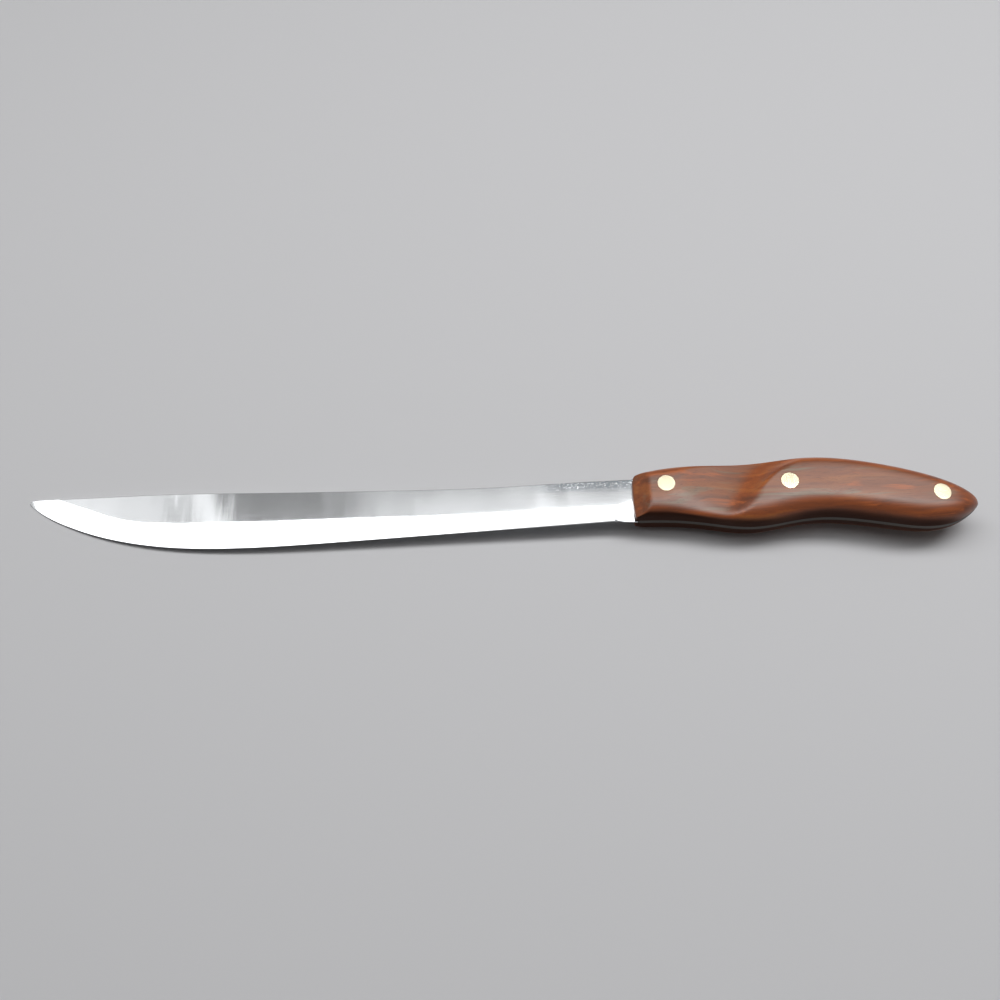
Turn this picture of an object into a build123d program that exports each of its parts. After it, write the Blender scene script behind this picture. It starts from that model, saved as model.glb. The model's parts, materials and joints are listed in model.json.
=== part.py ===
# A full-tang carving knife lying on its side: one steel piece runs from the point to the butt, and
# two shaped wooden scales are clamped to its tang by three two-piece rivets that are ground flush.
# Millimetres. +X runs from the point to the butt, +Y from the edge to the spine and +Z across the
# blade, so the blade lies flat. The origin is under the middle of the whole knife's box.
import os
from math import radians, sin

from build123d import *

# Blade
blade_length = 226.0
blade_depth = 23.0
blade_thickness = 2.0
edge_thickness = 0.3
choil_length = 1.4
choil_drop = 0.35
root_gap = 0.2

# Handle
handle_length = 123.0
handle_depth = 28.0
handle_thickness = 18.6
tang_relief = 0.05
front_setback = 1.5
front_arc_radius = 112.0
front_half_thickness = 3.2
front_bevel_length = 6.0

# Rivets
head_radius = 3.25
head_depth = 2.6
shank_radius = 2.0
pin_radius = 1.15
pin_end_gap = 0.6

# Fits and cuts
hole_clearance = 0.05
head_clearance = 0.02
pin_clearance = 0.01
overrun = 3.0

# Guide lines of the blade: distance from the handle as a share of the blade's length and height as a
# share of its depth, from the spine by the handle. Past the place where the grind line meets the
# spine it runs on above it, so the bevel keeps its angle there and thins the tip. Past the tip the
# edge side of the bevel climbs by a share of the distance gone.
spine_shares = [
    (0.090, -0.025),
    (0.240, -0.066),
    (0.420, -0.050),
    (0.600, -0.011),
    (0.780, 0.026),
    (0.900, 0.014),
    (0.994, 0.011),
]
tip_share = (1.000, -0.032)
edge_shares = [
    (0.996, -0.088),
    (0.962, -0.320),
    (0.926, -0.492),
    (0.892, -0.624),
    (0.840, -0.774),
    (0.773, -0.897),
    (0.642, -0.970),
    (0.481, -0.926),
    (0.255, -0.828),
    (0.126, -0.772),
    (0.030, -0.730),
]
grind_shares = [
    (0.029, -0.602),
    (0.140, -0.562),
    (0.254, -0.531),
    (0.400, -0.514),
    (0.620, -0.512),
    (0.745, -0.492),
    (0.805, -0.456),
    (0.852, -0.374),
    (0.896, -0.200),
    (0.943, -0.032),
    (1.030, 0.380),
]
past_tip_rise_share = 0.5

# Guide lines of the handle: distance from its front as a share of its length, with the height as a
# share of its depth along the top and the bottom, and as a share of its thickness along the side.
# All three start at the blade's root, where only a height or a half thickness is given.
root_top_share = -0.010
root_bottom_share = -0.623
root_side_share = 0.430
top_shares = [
    (0.045, 0.050),
    (0.115, 0.092),
    (0.211, 0.102),
    (0.315, 0.100),
    (0.421, 0.132),
    (0.526, 0.153),
    (0.632, 0.105),
    (0.737, 0.008),
    (0.834, -0.112),
    (0.907, -0.230),
    (0.964, -0.360),
]
butt_share = (1.000, -0.520)
bottom_shares = [
    (0.966, -0.700),
    (0.917, -0.808),
    (0.850, -0.852),
    (0.755, -0.802),
    (0.648, -0.716),
    (0.550, -0.672),
    (0.462, -0.700),
    (0.389, -0.754),
    (0.316, -0.771),
    (0.211, -0.703),
    (0.113, -0.643),
    (0.045, -0.628),
]
side_shares = [
    (0.115, 0.432),
    (0.260, 0.462),
    (0.400, 0.496),
    (0.530, 0.500),
    (0.730, 0.482),
    (0.850, 0.450),
    (0.925, 0.375),
    (0.975, 0.235),
    (1.000, 0.000),
]

# Widths of the rounded top and bottom shoulders as shares of the handle's local depth. From their
# start, a share of the way along the handle, they grow towards the butt with the cube of the rest.
top_shoulder_share = 0.165
bottom_shoulder_share = 0.235
butt_shoulder_share = 0.430
shoulder_start_share = 0.550

handle_station_count = 24
last_station_share = 0.983
blade_station_count = 18

# The thumb scoop from the top edge down: height as a share of the handle's depth, then where it
# starts, where its floor lies and where its crest is as shares of the handle's length, and the
# height of its floor over the blade's middle as a share of the handle's thickness.
scoop_shares = [
    (0.220, 0.121, 0.352, 0.580, 0.250),
    (0.060, 0.121, 0.335, 0.498, 0.262),
    (-0.070, 0.121, 0.311, 0.430, 0.280),
    (-0.290, 0.121, 0.280, 0.372, 0.310),
    (-0.500, 0.125, 0.256, 0.330, 0.350),
    (-0.680, 0.131, 0.238, 0.294, 0.398),
    (-0.860, 0.137, 0.224, 0.262, 0.480),
]
scoop_start_share = 0.435
scoop_crest_share = 0.500
scoop_reach_share = 1.3

# Rivet centres as shares of the handle's length and depth
rivet_shares = {
    "front": (0.085, -0.213),
    "middle": (0.444, -0.267),
    "rear": (0.881, -0.482),
}


# Places on the blade and the handle

def on_blade(length_share, depth_share):
    return (-length_share * blade_length, depth_share * blade_depth)


def on_handle(length_share, depth_share):
    return (length_share * handle_length, depth_share * handle_depth)


def heights_at(line, x):
    # Where a guide line crosses a place along the knife, lowest first
    crossings = line.intersect(Plane((x, 0, 0), z_dir=(1, 0, 0)))
    return sorted(point.Y for point in crossings.vertices())


# Blade

root_x = -front_setback - root_gap
root_top = (root_x, root_top_share * handle_depth)
root_bottom = (root_x, root_bottom_share * handle_depth)
spine_line = Spline(root_top, *[on_blade(*share) for share in spine_shares])
edge_line = Spline(*[on_blade(*share) for share in edge_shares])
grind_line = Spline(*[on_blade(*share) for share in grind_shares])


def blade_plate():
    tip_points = [on_blade(*share) for share in (spine_shares[-1], tip_share, edge_shares[0])]
    heel = on_blade(*edge_shares[-1])
    choil = (heel[0] + choil_length, heel[1] - choil_drop)
    outline = Wire([
        spine_line,
        Spline(*tip_points, tangents=(spine_line % 1, edge_line % 0)),
        edge_line,
        Line(heel, choil),
        Line(choil, root_bottom),
        Line(root_bottom, root_top),
    ])
    return extrude(Face(outline), amount=blade_thickness / 2, both=True)


def bevel_section(x, grind_y, edge_y):
    # The wedge that one side's bevel takes away at one place along the blade
    fall = (blade_thickness - edge_thickness) / 2 / (grind_y - edge_y)
    high_z = blade_thickness / 2 + fall * overrun
    low_z = edge_thickness / 2 - fall * overrun
    corners = [
        (x, grind_y + overrun, high_z),
        (x, edge_y - overrun, low_z),
        (x, edge_y - overrun, high_z),
    ]
    return Face(Wire(Polyline(*corners, close=True).edges()))


def bevel_wedge():
    heel_x = on_blade(*edge_shares[-1])[0]
    tip_x, tip_y = on_blade(*edge_shares[0])
    sections = []
    for station in range(blade_station_count + 1):
        x = heel_x + (tip_x - heel_x) * station / blade_station_count
        grind_y = heights_at(grind_line, x)[0]
        edge_y = heights_at(edge_line, x)[0]
        sections.append(bevel_section(x, grind_y, edge_y))
    past_x, past_grind_y = on_blade(*grind_shares[-1])
    past_edge_y = tip_y + (tip_x - past_x) * past_tip_rise_share
    sections.append(bevel_section(past_x, past_grind_y, past_edge_y))
    return loft(sections)


# Handle

outline_points = [on_handle(*share) for share in [*top_shares, butt_share, *bottom_shares]]
handle_line = Spline(root_top, *outline_points, root_bottom)
root_half = root_side_share * handle_thickness
side_points = [(along * handle_length, half * handle_thickness) for along, half in side_shares]
side_line = Spline((root_x, root_half), *side_points, tangents=((1, 0), (0, -1)))


def handle_section(x):
    # Flat sides with elliptical shoulders that meet at the blade's middle plane
    bottom, top = heights_at(handle_line, x)
    half = heights_at(side_line, x)[-1]
    along_share = (x - root_x) / (handle_length - root_x)
    growth = (max(along_share - shoulder_start_share, 0) / (1 - shoulder_start_share)) ** 3
    depth = top - bottom
    top_share = top_shoulder_share + (butt_shoulder_share - top_shoulder_share) * growth
    bottom_share = bottom_shoulder_share + (butt_shoulder_share - bottom_shoulder_share) * growth
    high = (top - top_share * depth, 0)
    low = (bottom + bottom_share * depth, 0)
    outline = Wire([
        EllipticalCenterArc(high, top_share * depth, half, start_angle=0, arc_size=90),
        Line((high[0], half), (low[0], half)),
        EllipticalCenterArc(low, bottom_share * depth, half, start_angle=90, arc_size=90),
        EllipticalCenterArc(low, bottom_share * depth, half, start_angle=180, arc_size=90),
        Line((low[0], -half), (high[0], -half)),
        EllipticalCenterArc(high, top_share * depth, half, start_angle=270, arc_size=90),
    ])
    return Plane.YZ.offset(x) * Face(outline)


def handle_form():
    # The handle as it is ground after riveting, tang and scales together. The sections crowd
    # towards the round butt, because they follow the sine of an angle of almost a quarter turn.
    sections = []
    for station in range(handle_station_count):
        turn = 90 * last_station_share * station / (handle_station_count - 1)
        sections.append(handle_section(root_x + (handle_length - root_x) * sin(radians(turn))))
    return loft(sections)


def scoop_section(depth_share, start_share, floor_share, crest_share, floor_height_share):
    # Two half parabolas that meet at the floor: a long one from the front, a short one to the crest
    start_x, y = on_handle(start_share, depth_share)
    floor_x = floor_share * handle_length
    crest_x = crest_share * handle_length
    floor_z = floor_height_share * handle_thickness
    start_rise = (scoop_start_share * handle_thickness - floor_z) * scoop_reach_share ** 2
    crest_rise = (scoop_crest_share * handle_thickness - floor_z) * scoop_reach_share ** 2
    front_reach = (floor_x - start_x) * scoop_reach_share
    crest_reach = (crest_x - floor_x) * scoop_reach_share
    roof_z = handle_thickness
    front = (floor_x - front_reach, floor_z + start_rise)
    crest = (floor_x + crest_reach, floor_z + crest_rise)
    outline = Wire([
        Bezier(front, (floor_x - front_reach / 2, floor_z), (floor_x, floor_z)),
        Bezier((floor_x, floor_z), (floor_x + crest_reach / 2, floor_z), crest),
        Line(crest, (crest[0], roof_z)),
        Line((crest[0], roof_z), (front[0], roof_z)),
        Line((front[0], roof_z), front),
    ])
    return Plane((0, y, 0), x_dir=(1, 0, 0), z_dir=(0, -1, 0)) * Face(outline)


def scoop():
    return loft([scoop_section(*row) for row in scoop_shares])


def front_bevel():
    slope = (root_half - front_half_thickness) / front_bevel_length
    high_z = root_half + slope * overrun
    corners = [
        (-front_setback - overrun, front_half_thickness - slope * overrun),
        (-front_setback + front_bevel_length + overrun, high_z),
        (-front_setback - overrun, high_z),
    ]
    return extrude(Plane.XZ * Face(Wire(Polyline(*corners, close=True).edges())),
                   amount=handle_depth, both=True)


def above(height):
    # The space over a level that holds the whole handle
    size = (2 * handle_length, 2 * handle_depth, handle_thickness)
    place = Pos(handle_length / 2, -handle_depth / 2, height)
    return place * Box(*size, align=(Align.CENTER, Align.CENTER, Align.MIN))


def upper_scale(form):
    front_x = front_arc_radius - front_setback
    middle_y = (root_top[1] + root_bottom[1]) / 2
    front_round = Pos(front_x, middle_y) * Cylinder(front_arc_radius, 2 * handle_thickness)
    tang_half = blade_thickness / 2 - tang_relief
    scale_body = form & above(tang_half) & front_round
    return scale_body - scoop() - front_bevel()


def tang(form):
    tang_half = blade_thickness / 2 - tang_relief
    return form & above(-tang_half) & mirror(above(-tang_half), about=Plane.XY)


# Rivets

def column(center, radius, low_z, high_z):
    height = high_z - low_z
    place = Pos(*center, low_z)
    return place * Cylinder(radius, height, align=(Align.CENTER, Align.CENTER, Align.MIN))


def seat_height(form, center):
    # The heads sit a fixed depth under the highest wood that they are ground flush with
    head_column = column(center, head_radius, 0, handle_thickness)
    return (form & head_column).bounding_box().max.Z - head_depth


def rivet_hole(center, seat_z):
    shank = column(center, shank_radius + hole_clearance, -seat_z - overrun, seat_z + overrun)
    head = column(center, head_radius + head_clearance, seat_z, handle_thickness)
    return shank + head + mirror(head, about=Plane.XY)


def rivet_male(form, center, seat_z):
    head = form & column(center, head_radius, seat_z, handle_thickness)
    return head + column(center, pin_radius, -seat_z + pin_end_gap, seat_z)


def rivet_female(form, center, seat_z):
    head = form & mirror(column(center, head_radius, seat_z, handle_thickness), about=Plane.XY)
    tube = column(center, shank_radius, -seat_z, seat_z - pin_end_gap)
    bore = column(center, pin_radius + pin_clearance, -seat_z, seat_z)
    return head + (tube - bore)


# The whole knife

def knife():
    form = handle_form()
    centers = {name: on_handle(*shares) for name, shares in rivet_shares.items()}
    seats = {name: seat_height(form, center) for name, center in centers.items()}
    wedge = bevel_wedge()
    blade = blade_plate() - wedge - mirror(wedge, about=Plane.XY) + tang(form)
    scale_body = upper_scale(form)
    for name, center in centers.items():
        hole = rivet_hole(center, seats[name])
        blade -= hole
        scale_body -= hole
    pieces = {
        "blade": blade,
        "upper_scale": scale_body,
        "lower_scale": mirror(scale_body, about=Plane.XY),
    }
    for name, center in centers.items():
        pieces[f"{name}_rivet_male"] = rivet_male(form, center, seats[name])
        pieces[f"{name}_rivet_female"] = rivet_female(form, center, seats[name])
    return pieces


pieces = knife()
box = Compound(list(pieces.values())).bounding_box()
to_origin = Pos(-box.center().X, -box.center().Y, -box.min.Z)
print("the handle's front on the spine's level lies at", to_origin.position)
os.makedirs("parts", exist_ok=True)
for node, piece in pieces.items():
    export_step(to_origin * piece, f"parts/{node}.step")
    print(node, "volume", round(piece.volume, 1), "solids", len(piece.solids()))
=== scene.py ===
import json
import math

import bmesh
import bpy
import numpy as np
from mathutils import Matrix, Vector


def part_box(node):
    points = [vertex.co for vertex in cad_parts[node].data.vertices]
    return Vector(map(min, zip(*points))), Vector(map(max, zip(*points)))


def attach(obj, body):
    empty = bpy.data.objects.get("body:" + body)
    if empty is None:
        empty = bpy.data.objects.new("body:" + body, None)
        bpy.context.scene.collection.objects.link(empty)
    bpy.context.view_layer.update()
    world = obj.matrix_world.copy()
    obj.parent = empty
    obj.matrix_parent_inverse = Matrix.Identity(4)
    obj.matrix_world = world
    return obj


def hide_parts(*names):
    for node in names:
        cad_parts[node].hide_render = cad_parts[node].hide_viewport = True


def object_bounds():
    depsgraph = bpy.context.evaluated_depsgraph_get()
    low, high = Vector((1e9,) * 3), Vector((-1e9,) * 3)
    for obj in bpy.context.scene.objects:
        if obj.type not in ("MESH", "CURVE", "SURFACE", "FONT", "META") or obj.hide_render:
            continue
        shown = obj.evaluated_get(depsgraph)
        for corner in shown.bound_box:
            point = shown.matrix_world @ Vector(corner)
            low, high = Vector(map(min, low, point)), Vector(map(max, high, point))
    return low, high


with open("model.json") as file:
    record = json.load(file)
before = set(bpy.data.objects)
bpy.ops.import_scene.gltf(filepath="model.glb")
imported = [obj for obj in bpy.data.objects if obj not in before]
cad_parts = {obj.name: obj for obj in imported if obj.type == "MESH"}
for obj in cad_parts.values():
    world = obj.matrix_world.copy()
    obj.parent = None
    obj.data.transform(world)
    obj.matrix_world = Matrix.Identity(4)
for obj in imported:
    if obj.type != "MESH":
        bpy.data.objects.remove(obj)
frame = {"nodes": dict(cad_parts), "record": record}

mm = 0.001
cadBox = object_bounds()
print("frame loaded:", sorted(frame["nodes"]))

# The knife's own axes, in mm: x from the handle's front to the butt, y up from the spine's level and
# z out of the blade's middle plane. The slot mount of the record ties them to the frame.
slotMountPlace = Vector((-1.7, -9.0, 0.0))
slotMount = next(m for m in frame["record"]["mounts"] if m["name"] == "storage_slot")
origin = Vector(slotMount["pos_m"]) - slotMountPlace * mm

# Camera: the photo's view, found by fitting the knife's outline
camera = {
    "place": (0.00882, -0.18912, 0.37162),
    "forward": (-0.0181, 0.4693, -0.8828),
    "right": (0.9992, -0.0239, -0.0331),
    "lens": 40.0,
    "sensor": 36.0,
    "nearest": 0.01,
    "farthest": 20.0,
}


def makeCamera():
    data = bpy.data.cameras.new("camera")
    data.lens = camera["lens"]
    data.sensor_width = camera["sensor"]
    data.clip_start = camera["nearest"]
    data.clip_end = camera["farthest"]
    forward = Vector(camera["forward"]).normalized()
    right = Vector(camera["right"])
    right = (right - forward * right.dot(forward)).normalized()
    turn = Matrix((right, right.cross(forward), -forward)).transposed().to_4x4()
    obj = bpy.data.objects.new("camera", data)
    obj.matrix_world = Matrix.Translation(Vector(camera["place"])) @ turn
    bpy.context.scene.collection.objects.link(obj)
    bpy.context.scene.camera = obj


makeCamera()
print("camera placed")


# Guide lines

def smoothLine(points, startSlope=None, endSlope=None, count=2000):
    # A cubic line through the points, evenly bent like a batten, as many samples of it
    pts = np.array(points, float)
    step = np.hypot(*np.diff(pts, axis=0).T)
    slope = np.diff(pts, axis=0) / step[:, None]
    if startSlope is None:
        startSlope = slope[0] + (slope[0] - slope[1]) * step[0] / (step[0] + step[1])
    if endSlope is None:
        endSlope = slope[-1] + (slope[-1] - slope[-2]) * step[-1] / (step[-1] + step[-2])
    last = len(pts) - 1
    system = np.zeros((last + 1, last + 1))
    wanted = np.zeros((last + 1, 2))
    system[0, :2] = 2 * step[0], step[0]
    system[last, -2:] = step[-1], 2 * step[-1]
    wanted[0] = 6 * (slope[0] - np.array(startSlope))
    wanted[last] = 6 * (np.array(endSlope) - slope[-1])
    for i in range(1, last):
        system[i, i - 1:i + 2] = step[i - 1], 2 * (step[i - 1] + step[i]), step[i]
        wanted[i] = 6 * (slope[i] - slope[i - 1])
    bend = np.linalg.solve(system, wanted)
    knots = np.concatenate([[0], np.cumsum(step)])
    at = np.linspace(0, knots[-1], count)
    k = np.clip(np.searchsorted(knots, at, side="right") - 1, 0, last - 1)
    b = ((at - knots[k]) / step[k])[:, None]
    a = 1 - b
    h = step[k][:, None]
    return a * pts[k] + b * pts[k + 1] + ((a**3 - a) * bend[k] + (b**3 - b) * bend[k + 1]) * h * h / 6


def heightAlong(line):
    # Reads a line as height over x
    order = np.argsort(line[:, 0], kind="stable")
    xs, ys = line[order, 0], line[order, 1]
    return lambda x: np.interp(x, xs, ys)


def softMin(a, b, softness):
    # The lower of two surfaces, with the crease between them rounded
    share = np.clip(0.5 + 0.5 * (b - a) / softness, 0, 1)
    return b * (1 - share) + a * share - softness * share * (1 - share)


def ease(values, low, high):
    share = np.clip((values - low) / (high - low), 0, 1)
    return share * share * (3 - 2 * share)


# Handle: the form that the two scales share, with the sizes of the solids
handle = {
    "length": 123.0,
    "depth": 28.0,
    "thickness": 18.6,
    "rootX": -1.7,
    "rootTop": -0.010,         # where the blade's spine and belly meet it, as shares of the depth
    "rootBottom": -0.623,
    "frontX": -1.5,
    "frontArcRadius": 112.0,
    "frontHalf": 3.2,          # half thickness at the front face
    "frontSide": 0.430,        # and where its bevel ends, as a share of the thickness
    "bevelLength": 6.0,
    "tangHalf": 0.95,
    "topShoulder": (0.28, 0.46),     # shares of the local depth, along the handle and at the butt
    "bottomShoulder": (0.40, 0.52),
    "shoulderPower": (3.5, 2.4),     # how slowly the sides fall away from their middle
    "shoulderStart": 0.550,
    "shoulderSwell": (0.08, 52.0, 12.0),  # a wider lower shoulder behind the scoop: share, place, reach
    "wallPower": (4.2, 2.5),   # how upright the lower side stands by the tang, by the blade and behind
    "wallFade": (22.0, 60.0),
    "scoopStart": 0.435,       # shares of the thickness
    "scoopCrest": 0.500,
    "creaseSoftness": 0.75,    # hand sanding, mm
    "ridgeSoftness": 2.2,      # the same where the scoop runs into the lower shoulder
    "ridgeReach": (1.1, 0.6),  # where that starts and how fast it grows, in shoulder widths
    "scoopTilt": 0.006,        # the scoop's lower part leans to the edge side, per mm
    "scoopTiltStart": -6.0,
    "edgeRound": 0.55,
    "cornerRoundTop": 2.2,
    "cornerRoundBottom": 0.9,
    "buttMargin": 0.03,        # how far the drawn butt stays inside the solids' box
    "outlineMargin": 0.05,     # the same for the outline's height and the sides
}
rootTop = (handle["rootX"], handle["rootTop"] * handle["depth"])
rootBottom = (handle["rootX"], handle["rootBottom"] * handle["depth"])
topShares = [
    (0.045, 0.050), (0.115, 0.092), (0.211, 0.102), (0.315, 0.100), (0.421, 0.132), (0.526, 0.153),
    (0.632, 0.105), (0.737, 0.008), (0.834, -0.112), (0.907, -0.230), (0.964, -0.360),
]
buttShare = (1.000, -0.520)
bottomShares = [
    (0.966, -0.700), (0.917, -0.808), (0.850, -0.852), (0.755, -0.802), (0.648, -0.716), (0.550, -0.672),
    (0.462, -0.700), (0.389, -0.754), (0.316, -0.771), (0.211, -0.703), (0.113, -0.643), (0.045, -0.628),
]
sideShares = [
    (0.115, 0.432), (0.260, 0.462), (0.400, 0.496), (0.530, 0.500), (0.730, 0.482), (0.850, 0.450),
    (0.925, 0.375), (0.975, 0.235), (1.000, 0.000),
]
# The thumb scoop by height: where it starts, its floor and its crest along the handle, and how high
# its floor lies
scoopShares = [
    (0.220, 0.121, 0.352, 0.580, 0.250),
    (0.060, 0.121, 0.335, 0.498, 0.262),
    (-0.070, 0.121, 0.311, 0.430, 0.280),
    (-0.290, 0.121, 0.280, 0.372, 0.310),
    (-0.500, 0.125, 0.256, 0.330, 0.350),
    (-0.680, 0.131, 0.238, 0.294, 0.398),
    (-0.860, 0.137, 0.224, 0.262, 0.480),
]


def onHandle(share):
    return (share[0] * handle["length"], share[1] * handle["depth"])


outlinePoints = [rootTop, *map(onHandle, topShares + [buttShare] + bottomShares), rootBottom]
handleOutline = smoothLine(outlinePoints, count=6000)
buttIndex = int(np.argmax(handleOutline[:, 0]))
buttX = float((cadBox[1] - origin)[0] / mm) - handle["buttMargin"]
inside = np.array([0.0, handle["outlineMargin"]])
handleTop = heightAlong(handleOutline[:buttIndex + 1] - inside)
handleBottom = heightAlong(handleOutline[buttIndex:] + inside)
sidePoints = [(handle["rootX"], handle["frontSide"] * handle["thickness"])]
sidePoints += [(x * handle["length"], half * handle["thickness"]) for x, half in sideShares]
handleSide = heightAlong(smoothLine(sidePoints, (1, 0), (0, -1), count=4000) - inside)


def shoulders(x):
    # Widths of the crowned shoulders above and below the middle of the side, and their power
    way = (x - handle["rootX"]) / (handle["length"] - handle["rootX"])
    growth = (np.maximum(way - handle["shoulderStart"], 0) / (1 - handle["shoulderStart"])) ** 3
    depth = handleTop(x) - handleBottom(x)
    keys = ("topShoulder", "bottomShoulder", "shoulderPower")
    top, bottom, power = (handle[key][0] + (handle[key][1] - handle[key][0]) * growth for key in keys)
    swell, place, reach = handle["shoulderSwell"]
    return top * depth, (bottom + swell * np.exp(-((x - place) / reach) ** 2)) * depth, power


def wallPower(x):
    front, back = handle["wallPower"]
    return front + (back - front) * ease(x, *handle["wallFade"])


def formHeight(x, y):
    # The handle's half thickness before the scoop and the front bevel
    top, bottom, half = handleTop(x), handleBottom(x), handleSide(x)
    topWidth, bottomWidth, power = shoulders(x)
    up = np.clip((y - (top - topWidth)) / topWidth, 0, 1)
    down = np.clip(((bottom + bottomWidth) - y) / bottomWidth, 0, 1)
    upper = np.sqrt(np.maximum(1 - up**power, 0))
    lower = np.maximum(1 - down**power, 0) ** (1 / wallPower(x))
    return half * upper * lower


def scoopLine(column, size):
    rows = np.array(scoopShares)
    points = np.stack([rows[:, 0] * handle["depth"], rows[:, column] * handle[size]], 1)
    return heightAlong(smoothLine(points))


scoopLines = [scoopLine(column, "length") for column in (1, 2, 3)] + [scoopLine(4, "thickness")]


def scoopHeight(x, y):
    # Two half parabolas that meet at the floor, the steep one up to the crest
    start, floor, crest, low = (line(y) for line in scoopLines)
    front = (handle["scoopStart"] * handle["thickness"] - low) * ((floor - x) / (floor - start)) ** 2
    back = (handle["scoopCrest"] * handle["thickness"] - low) * ((x - floor) / (crest - floor)) ** 2
    hollow = handle["scoopTilt"] * np.maximum(handle["scoopTiltStart"] - y, 0) ** 2
    return low + np.where(x < floor, front, back) - hollow


def woodHeight(x, y, fromFront):
    # The finished wood: form, scoop, front bevel and the broken edge at the front
    slope = (handle["frontSide"] * handle["thickness"] - handle["frontHalf"]) / handle["bevelLength"]
    bevel = handle["frontHalf"] + slope * fromFront
    _, lowerWidth, _ = shoulders(x)
    start, growth = handle["ridgeReach"]
    lower = np.clip((handleBottom(x) + start * lowerWidth - y) / (growth * lowerWidth), 0, 1)
    softness = handle["creaseSoftness"] + (handle["ridgeSoftness"] - handle["creaseSoftness"]) * lower
    z = softMin(formHeight(x, y), scoopHeight(x, y), softness)
    z = softMin(z, bevel, handle["creaseSoftness"])
    edge = handle["edgeRound"]
    left = np.maximum(edge - fromFront, 0)
    return z - edge + np.sqrt(np.maximum(edge**2 - left**2, 0))


# Rivets: places and radii come from the solids, the rest are the cutler's rivet's sizes
rivet = {
    "names": ("front", "middle", "rear"),
    "headDepth": 2.6,
    "shankRadius": 2.0,
    "pinRadius": 1.15,
    "pinGap": 0.6,
    "holeClearance": 0.05,
    "headClearance": 0.02,
    "pinClearance": 0.01,
    "edgeBreak": 0.10,
    "proud": 0.015,
    "headRings": (0, 0.3, 0.6, 0.85, 1),
    "headReach": 0.01,         # points no lower than this under the broken edge move with the head
    "cutBeyond": 2.0,          # how far a hole's cutter reaches out of the wood
    "boreHalf": 3.0,           # and out of the tang
    "segments": 72,
}
rivetPlaces = {}
for name in rivet["names"]:
    low, high = (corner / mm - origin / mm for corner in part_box(name + "_rivet_male"))
    rivetPlaces[name] = {
        "x": (low.x + high.x) / 2,
        "y": (low.y + high.y) / 2,
        "radius": (high.x - low.x) / 2,
        "seat": high.z - rivet["headDepth"],
        "top": high.z,
    }


# Mesh helpers
mergeReach = 0.001       # points nearer than this are one, mm
degenerateReach = 0.0005
sharpAngle = math.radians(32)


def finishMesh(bm, name):
    # bm is in the knife's axes and mm
    bmesh.ops.remove_doubles(bm, verts=bm.verts, dist=mergeReach)
    bmesh.ops.dissolve_degenerate(bm, edges=bm.edges, dist=degenerateReach)
    bmesh.ops.recalc_face_normals(bm, faces=bm.faces)
    bmesh.ops.transform(bm, matrix=Matrix.Translation(origin) @ Matrix.Scale(mm, 4), verts=bm.verts)
    for face in bm.faces:
        face.smooth = True
    mesh = bpy.data.meshes.new(name)
    bm.to_mesh(mesh)
    bm.free()
    mesh.set_sharp_from_angle(angle=sharpAngle)
    obj = bpy.data.objects.new(name, mesh)
    bpy.context.scene.collection.objects.link(obj)
    return obj


def gridSheet(bm, rows, columns, place):
    # A grid whose corner i, j goes where place(i, j) says. Returns its vertices by row.
    made = bmesh.ops.create_grid(bm, x_segments=columns - 1, y_segments=rows - 1, size=1)["verts"]
    for index, vert in enumerate(made):
        vert.co = place(index // columns, index % columns)
    return [made[i * columns:(i + 1) * columns] for i in range(rows)]


def turned(bm, profile, centre, segments):
    # A closed turned shape about an axis across the blade. The profile is radius and height, axis to axis.
    start = [bm.verts.new((centre[0] + r, centre[1], z)) for r, z in profile]
    edges = [bm.edges.new(pair) for pair in zip(start, start[1:])]
    bmesh.ops.spin(bm, geom=start + edges, cent=(centre[0], centre[1], 0), axis=(0, 0, 1), angle=math.tau,
                   steps=segments, use_merge=True)
    bmesh.ops.remove_doubles(bm, verts=bm.verts, dist=mergeReach)
    bmesh.ops.recalc_face_normals(bm, faces=bm.faces)


def cutHoles(obj, profiles, segments):
    # Takes a turned shape away at each rivet
    for centre, profile in profiles:
        bm = bmesh.new()
        turned(bm, profile, centre, segments)
        cutter = finishMesh(bm, "cutter")
        modifier = obj.modifiers.new("hole", "BOOLEAN")
        modifier.object = cutter
        modifier.operation = "DIFFERENCE"
        modifier.solver = "EXACT"
        evaluated = obj.evaluated_get(bpy.context.evaluated_depsgraph_get())
        cut = bpy.data.meshes.new_from_object(evaluated)
        obj.modifiers.clear()
        old = obj.data
        name = old.name
        obj.data = cut
        bpy.data.meshes.remove(old)
        cut.name = name
        bpy.data.objects.remove(cutter)
    obj.data.set_sharp_from_angle(angle=sharpAngle)


# Scales
scaleLook = {
    "alongStep": 0.36,
    "shoulderSteps": 20,
    "flatSteps": 30,
    "frontSteps": 14,
    "frontReach": 2.4,         # rows lie close together this far from the front
    "buttSteps": 30,
    "buttStart": 0.90,         # and from this share of the length on
    "rimMargin": (0.02, 0.01),  # how far the wood's thin end stays thicker than half the tang
    "arcFade": 9.0,            # the front's arc has run out this far behind it
    "topPower": 2.0,
    # The face mask carries a painted sheen, the belly mask painted shade.
    # Masks: a broad face is turned out this much, the front face forwards and the lower wall down,
    # and more so behind. The rim by the tang belongs to the wall.
    "faceTurn": (0.955, 0.996),
    "frontTurn": (0.30, 0.50),
    "frontShare": 0.45,
    "bellyTurn": (0.66, 0.92),
    "bellyTurnMore": (0.17, 0.08),
    "bellyBehind": (8.0, 30.0),
    "rimHeight": 0.02,
    "rimReach": 3.0,
}


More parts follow.
